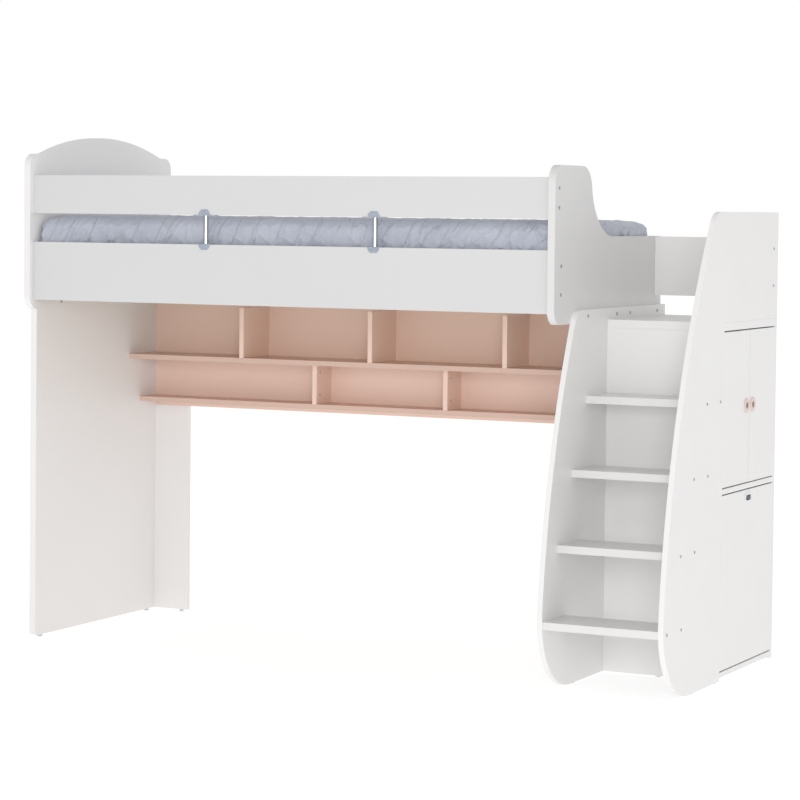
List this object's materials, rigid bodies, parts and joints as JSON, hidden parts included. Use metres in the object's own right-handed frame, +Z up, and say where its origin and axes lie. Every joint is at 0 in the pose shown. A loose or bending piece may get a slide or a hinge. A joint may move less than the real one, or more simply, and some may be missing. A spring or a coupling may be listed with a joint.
{
  "type": "loft bed with step cabinet",
  "caption": "Loft bed with arched headboard, guard rail, mattress, open shelf unit below and a step cabinet with hinged doors.",
  "frame": {"origin": "centre of the bounding box's underside, on the floor", "axes": "+X from headboard to step cabinet, +Y from front to back, +Z up"},
  "size_m": [2.487, 1.0872, 1.812],
  "materials": {
    "white_board": "white melamine board, satin",
    "pink_board": "dusty pink melamine board, satin",
    "slat_wood": "planed softwood",
    "sheet_fabric": "woven cotton fitted sheet",
    "bright_tube": "polished chrome",
    "plate_metal": "satin grey plated steel",
    "screw_steel": "zinc plated",
    "grey_plastic": "moulded, matte",
    "pull_pink": "pale pink lacquer, satin",
    "recess_brown": "moulded, matte",
    "pull_white": "white lacquer"
  },
  "bodies": {
    "frame": {"headboard": "white_board", "footboard": "white_board", "front_side_rail": "white_board", "rear_side_rail": "white_board", "guard_rail": "white_board", "bracket_tubes": "bright_tube", "bracket_plates": "plate_metal", "corner_blocks": "slat_wood", "slat_battens": "slat_wood", "slats": "slat_wood", "mattress": "sheet_fabric", "leg_panel": "white_board", "leg_return_panel": "white_board", "shelf_back": "pink_board", "upper_shelf": "pink_board", "lower_shelf": "pink_board", "upper_divider_left": "pink_board", "upper_divider_middle": "pink_board", "upper_divider_right": "pink_board", "lower_divider_left": "pink_board", "lower_divider_right": "pink_board", "step_left_panel": "white_board", "tall_front_board": "white_board", "upper_rear_board": "white_board", "tread_1": "white_board", "tread_2": "white_board", "tread_3": "white_board", "tread_4": "white_board", "landing_board": "white_board", "landing_guard": "white_board", "cabinet_front_wall": "white_board", "cabinet_back": "white_board", "middle_board": "white_board", "bottom_board": "white_board", "inner_shelf": "white_board", "shelf_pins": "screw_steel", "hinge_arms": "screw_steel", "door_catches": "grey_plastic", "frame_bolts": "screw_steel", "step_panel_bolts": "screw_steel", "tread_screws": "screw_steel", "shelf_screws": "screw_steel", "divider_cams": "screw_steel", "headboard_cams": "screw_steel", "landing_guard_screws": "screw_steel", "landing_guard_dowels": "slat_wood", "low_glides": "grey_plastic", "tall_glides": "grey_plastic"},
    "front_door": {"upper_front_door": "white_board", "front_pull_ring": "pull_pink", "front_pull_cup": "recess_brown", "front_door_cups": "screw_steel"},
    "rear_door": {"upper_rear_door": "white_board", "rear_pull_ring": "pull_pink", "rear_pull_cup": "recess_brown", "rear_door_cups": "screw_steel"},
    "flap": {"lower_flap": "white_board", "flap_pull_rim": "pull_white", "flap_pull_cup": "grey_plastic", "flap_cups": "screw_steel"}
  },
  "joints": [
    {"name": "front_door_hinge", "type": "hinge", "parent": "frame", "child": "front_door", "pos_m": [1.2395, -0.00544, 0.9], "axis": [0, 0, -1], "range_deg": [0, 95]},
    {"name": "rear_door_hinge", "type": "hinge", "parent": "frame", "child": "rear_door", "pos_m": [1.2395, 0.52456, 0.9], "axis": [0, 0, 1], "range_deg": [0, 95]},
    {"name": "flap_hinge", "type": "hinge", "parent": "frame", "child": "flap", "pos_m": [1.2395, 0.25956, 0.033], "axis": [0, 1, 0], "range_deg": [0, 85]}
  ]
}
